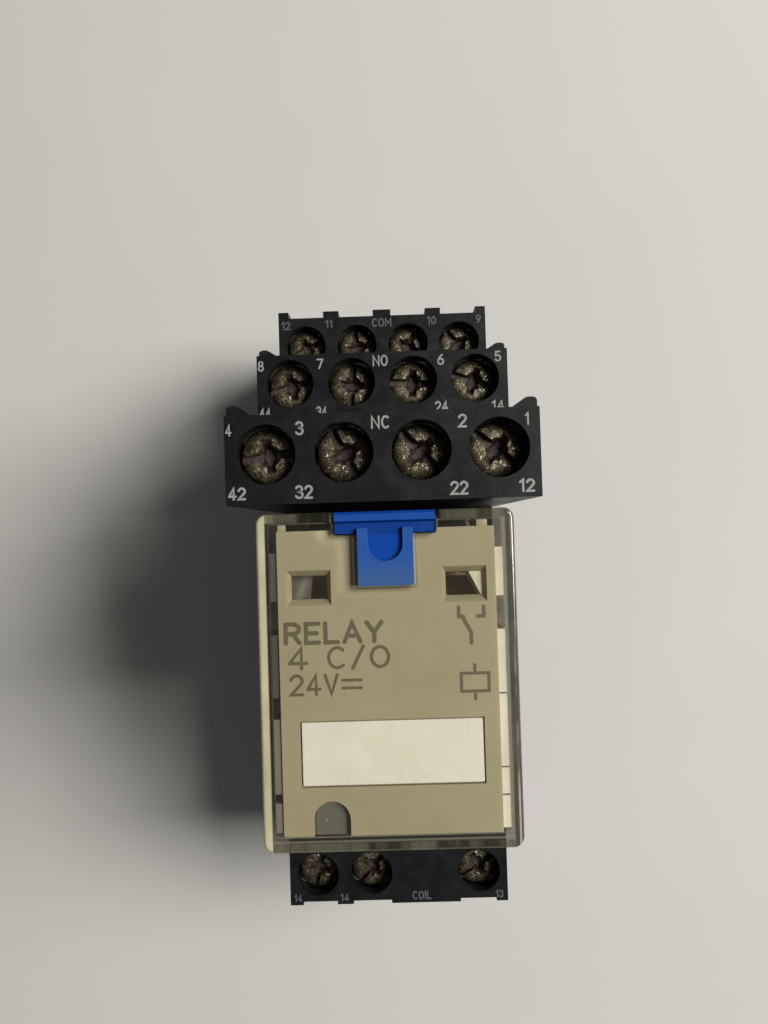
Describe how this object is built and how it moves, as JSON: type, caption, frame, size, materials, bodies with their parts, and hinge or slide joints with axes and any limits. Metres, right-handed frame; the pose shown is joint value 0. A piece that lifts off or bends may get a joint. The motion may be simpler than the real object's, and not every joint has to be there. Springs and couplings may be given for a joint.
{
  "type": "industrial control relay",
  "caption": "Plug-in changeover control relay with smoked cover, test lever and indicator plate, seated in a DIN-rail screw socket with stepped terminal decks.",
  "frame": {"origin": "centre of the footprint on the plane of the socket's feet, rail latch included", "axes": "+Z out of the panel towards the operator; +Y towards the stepped contact terminals; +X to the right when the contact terminals are at the top"},
  "size_m": [0.027, 0.0786, 0.0628],
  "materials": {
    "socket_black": "moulded black polyamide, fine satin grain",
    "smoked_cover": "smoked clear polycarbonate",
    "beige_plate": "beige moulding with printed marks",
    "lever_blue": "blue moulding",
    "label_white": "off-white write-on card",
    "screw_zinc": "yellow-passivated zinc, tarnished",
    "clamp_zinc": "zinc-plated pressed steel",
    "soft_iron": "nickel-plated soft iron",
    "contact_brass": "silvered brass strip",
    "button_yellow": "yellow moulding",
    "bobbin_white": "natural glass-filled polyamide",
    "coil_wire": "varnished copper winding under tape",
    "relay_base_black": "moulded black base",
    "carrier_amber": "amber moulding with bronze contact springs",
    "circuit_board": "green glass-epoxy board"
  },
  "bodies": {
    "socket": {"socket_body": "socket_black", "socket_base": "socket_black"},
    "latch": {"din_latch": "socket_black"},
    "relay": {"relay_cover": "smoked_cover", "relay_base": "relay_base_black", "indicator_plate": "beige_plate", "write_on_label": "label_white", "led_board": "circuit_board", "yoke": "soft_iron", "iron_core": "soft_iron", "coil_bobbin": "bobbin_white", "coil_winding": "coil_wire", "nc_terminal_01": "contact_brass", "nc_terminal_02": "contact_brass", "nc_terminal_03": "contact_brass", "nc_terminal_04": "contact_brass", "no_terminal_05": "contact_brass", "no_terminal_06": "contact_brass", "no_terminal_07": "contact_brass", "no_terminal_08": "contact_brass", "com_terminal_09": "contact_brass", "com_terminal_10": "contact_brass", "com_terminal_11": "contact_brass", "com_terminal_12": "contact_brass", "coil_terminal_13": "contact_brass", "coil_terminal_14": "contact_brass"},
    "lever": {"test_lever": "lever_blue"},
    "button": {"test_button": "button_yellow"},
    "swing": {"armature": "soft_iron", "contact_carrier": "carrier_amber"},
    "clamp_04": {"wire_clamp_04": "clamp_zinc"},
    "screw_04": {"terminal_screw_04": "screw_zinc"},
    "clamp_03": {"wire_clamp_03": "clamp_zinc"},
    "screw_03": {"terminal_screw_03": "screw_zinc"},
    "clamp_02": {"wire_clamp_02": "clamp_zinc"},
    "screw_02": {"terminal_screw_02": "screw_zinc"},
    "clamp_01": {"wire_clamp_01": "clamp_zinc"},
    "screw_01": {"terminal_screw_01": "screw_zinc"},
    "clamp_08": {"wire_clamp_08": "clamp_zinc"},
    "screw_08": {"terminal_screw_08": "screw_zinc"},
    "clamp_07": {"wire_clamp_07": "clamp_zinc"},
    "screw_07": {"terminal_screw_07": "screw_zinc"},
    "clamp_06": {"wire_clamp_06": "clamp_zinc"},
    "screw_06": {"terminal_screw_06": "screw_zinc"},
    "clamp_05": {"wire_clamp_05": "clamp_zinc"},
    "screw_05": {"terminal_screw_05": "screw_zinc"},
    "clamp_12": {"wire_clamp_12": "clamp_zinc"},
    "screw_12": {"terminal_screw_12": "screw_zinc"},
    "clamp_11": {"wire_clamp_11": "clamp_zinc"},
    "screw_11": {"terminal_screw_11": "screw_zinc"},
    "clamp_10": {"wire_clamp_10": "clamp_zinc"},
    "screw_10": {"terminal_screw_10": "screw_zinc"},
    "clamp_09": {"wire_clamp_09": "clamp_zinc"},
    "screw_09": {"terminal_screw_09": "screw_zinc"},
    "clamp_14a": {"wire_clamp_14a": "clamp_zinc"},
    "screw_14a": {"terminal_screw_14a": "screw_zinc"},
    "clamp_14b": {"wire_clamp_14b": "clamp_zinc"},
    "screw_14b": {"terminal_screw_14b": "screw_zinc"},
    "clamp_13": {"wire_clamp_13": "clamp_zinc"},
    "screw_13": {"terminal_screw_13": "screw_zinc"}
  },
  "joints": [
    {"name": "relay_unplug", "type": "slide", "parent": "socket", "child": "relay", "axis": [0, 0, 1], "range_m": [0, 0.045]},
    {"name": "rail_latch", "type": "slide", "parent": "socket", "child": "latch", "axis": [0, -1, 0], "range_m": [0, 0.003]},
    {"name": "test_lever", "type": "hinge", "parent": "relay", "child": "lever", "pos_m": [0, 0.0113, 0.0617], "axis": [-1, 0, 0], "range_deg": [0, 90]},
    {"name": "test_button", "type": "slide", "parent": "relay", "child": "button", "axis": [0, 0, -1], "range_m": [0, 0.0005]},
    {"name": "armature_swing", "type": "hinge", "parent": "relay", "child": "swing", "pos_m": [0, 0.003, 0.0324], "axis": [1, 0, 0], "range_deg": [0, 2.4]},
    {"name": "clamp_lift_04", "type": "slide", "parent": "socket", "child": "clamp_04", "axis": [0, 0, 1], "range_m": [0, 0.0015]},
    {"name": "screw_turn_04", "type": "hinge", "parent": "clamp_04", "child": "screw_04", "pos_m": [-0.01, 0.01741, 0.0591], "axis": [0, 0, 1], "range_deg": [0, 1080]},
    {"name": "clamp_lift_03", "type": "slide", "parent": "socket", "child": "clamp_03", "axis": [0, 0, 1], "range_m": [0, 0.0015]},
    {"name": "screw_turn_03", "type": "hinge", "parent": "clamp_03", "child": "screw_03", "pos_m": [-0.00333, 0.01741, 0.0591], "axis": [0, 0, 1], "range_deg": [0, 1080]},
    {"name": "clamp_lift_02", "type": "slide", "parent": "socket", "child": "clamp_02", "axis": [0, 0, 1], "range_m": [0, 0.0015]},
    {"name": "screw_turn_02", "type": "hinge", "parent": "clamp_02", "child": "screw_02", "pos_m": [0.00333, 0.01741, 0.0591], "axis": [0, 0, 1], "range_deg": [0, 1080]},
    {"name": "clamp_lift_01", "type": "slide", "parent": "socket", "child": "clamp_01", "axis": [0, 0, 1], "range_m": [0, 0.0015]},
    {"name": "screw_turn_01", "type": "hinge", "parent": "clamp_01", "child": "screw_01", "pos_m": [0.01, 0.01741, 0.0591], "axis": [0, 0, 1], "range_deg": [0, 1080]},
    {"name": "clamp_lift_08", "type": "slide", "parent": "socket", "child": "clamp_08", "axis": [0, 0, 1], "range_m": [0, 0.0015]},
    {"name": "screw_turn_08", "type": "hinge", "parent": "clamp_08", "child": "screw_08", "pos_m": [-0.01, 0.02667, 0.0421], "axis": [0, 0, 1], "range_deg": [0, 1080]},
    {"name": "clamp_lift_07", "type": "slide", "parent": "socket", "child": "clamp_07", "axis": [0, 0, 1], "range_m": [0, 0.0015]},
    {"name": "screw_turn_07", "type": "hinge", "parent": "clamp_07", "child": "screw_07", "pos_m": [-0.00333, 0.02667, 0.0421], "axis": [0, 0, 1], "range_deg": [0, 1080]},
    {"name": "clamp_lift_06", "type": "slide", "parent": "socket", "child": "clamp_06", "axis": [0, 0, 1], "range_m": [0, 0.0015]},
    {"name": "screw_turn_06", "type": "hinge", "parent": "clamp_06", "child": "screw_06", "pos_m": [0.00333, 0.02667, 0.0421], "axis": [0, 0, 1], "range_deg": [0, 1080]},
    {"name": "clamp_lift_05", "type": "slide", "parent": "socket", "child": "clamp_05", "axis": [0, 0, 1], "range_m": [0, 0.0015]},
    {"name": "screw_turn_05", "type": "hinge", "parent": "clamp_05", "child": "screw_05", "pos_m": [0.01, 0.02667, 0.0421], "axis": [0, 0, 1], "range_deg": [0, 1080]},
    {"name": "clamp_lift_12", "type": "slide", "parent": "socket", "child": "clamp_12", "axis": [0, 0, 1], "range_m": [0, 0.0015]},
    {"name": "screw_turn_12", "type": "hinge", "parent": "clamp_12", "child": "screw_12", "pos_m": [-0.01, 0.03489, 0.0247], "axis": [0, 0, 1], "range_deg": [0, 1080]},
    {"name": "clamp_lift_11", "type": "slide", "parent": "socket", "child": "clamp_11", "axis": [0, 0, 1], "range_m": [0, 0.0015]},
    {"name": "screw_turn_11", "type": "hinge", "parent": "clamp_11", "child": "screw_11", "pos_m": [-0.00333, 0.03489, 0.0247], "axis": [0, 0, 1], "range_deg": [0, 1080]},
    {"name": "clamp_lift_10", "type": "slide", "parent": "socket", "child": "clamp_10", "axis": [0, 0, 1], "range_m": [0, 0.0015]},
    {"name": "screw_turn_10", "type": "hinge", "parent": "clamp_10", "child": "screw_10", "pos_m": [0.00333, 0.03489, 0.0247], "axis": [0, 0, 1], "range_deg": [0, 1080]},
    {"name": "clamp_lift_09", "type": "slide", "parent": "socket", "child": "clamp_09", "axis": [0, 0, 1], "range_m": [0, 0.0015]},
    {"name": "screw_turn_09", "type": "hinge", "parent": "clamp_09", "child": "screw_09", "pos_m": [0.01, 0.03489, 0.0247], "axis": [0, 0, 1], "range_deg": [0, 1080]},
    {"name": "clamp_lift_14a", "type": "slide", "parent": "socket", "child": "clamp_14a", "axis": [0, 0, 1], "range_m": [0, 0.0015]},
    {"name": "screw_turn_14a", "type": "hinge", "parent": "clamp_14a", "child": "screw_14a", "pos_m": [-0.01, -0.03205, 0.0281], "axis": [0, 0, 1], "range_deg": [0, 1080]},
    {"name": "clamp_lift_14b", "type": "slide", "parent": "socket", "child": "clamp_14b", "axis": [0, 0, 1], "range_m": [0, 0.0015]},
    {"name": "screw_turn_14b", "type": "hinge", "parent": "clamp_14b", "child": "screw_14b", "pos_m": [-0.00333, -0.03205, 0.0281], "axis": [0, 0, 1], "range_deg": [0, 1080]},
    {"name": "clamp_lift_13", "type": "slide", "parent": "socket", "child": "clamp_13", "axis": [0, 0, 1], "range_m": [0, 0.0015]},
    {"name": "screw_turn_13", "type": "hinge", "parent": "clamp_13", "child": "screw_13", "pos_m": [0.01, -0.03205, 0.0281], "axis": [0, 0, 1], "range_deg": [0, 1080]}
  ],
  "couplings": [
    {"joint": "armature_swing", "follows": "test_lever", "ratio": 0.0266},
    {"joint": "screw_turn_04", "follows": "clamp_lift_04", "rad_per_m": 12566},
    {"joint": "screw_turn_03", "follows": "clamp_lift_03", "rad_per_m": 12566},
    {"joint": "screw_turn_02", "follows": "clamp_lift_02", "rad_per_m": 12566},
    {"joint": "screw_turn_01", "follows": "clamp_lift_01", "rad_per_m": 12566},
    {"joint": "screw_turn_08", "follows": "clamp_lift_08", "rad_per_m": 12566},
    {"joint": "screw_turn_07", "follows": "clamp_lift_07", "rad_per_m": 12566},
    {"joint": "screw_turn_06", "follows": "clamp_lift_06", "rad_per_m": 12566},
    {"joint": "screw_turn_05", "follows": "clamp_lift_05", "rad_per_m": 12566},
    {"joint": "screw_turn_12", "follows": "clamp_lift_12", "rad_per_m": 12566},
    {"joint": "screw_turn_11", "follows": "clamp_lift_11", "rad_per_m": 12566},
    {"joint": "screw_turn_10", "follows": "clamp_lift_10", "rad_per_m": 12566},
    {"joint": "screw_turn_09", "follows": "clamp_lift_09", "rad_per_m": 12566},
    {"joint": "screw_turn_14a", "follows": "clamp_lift_14a", "rad_per_m": 12566},
    {"joint": "screw_turn_14b", "follows": "clamp_lift_14b", "rad_per_m": 12566},
    {"joint": "screw_turn_13", "follows": "clamp_lift_13", "rad_per_m": 12566}
  ]
}
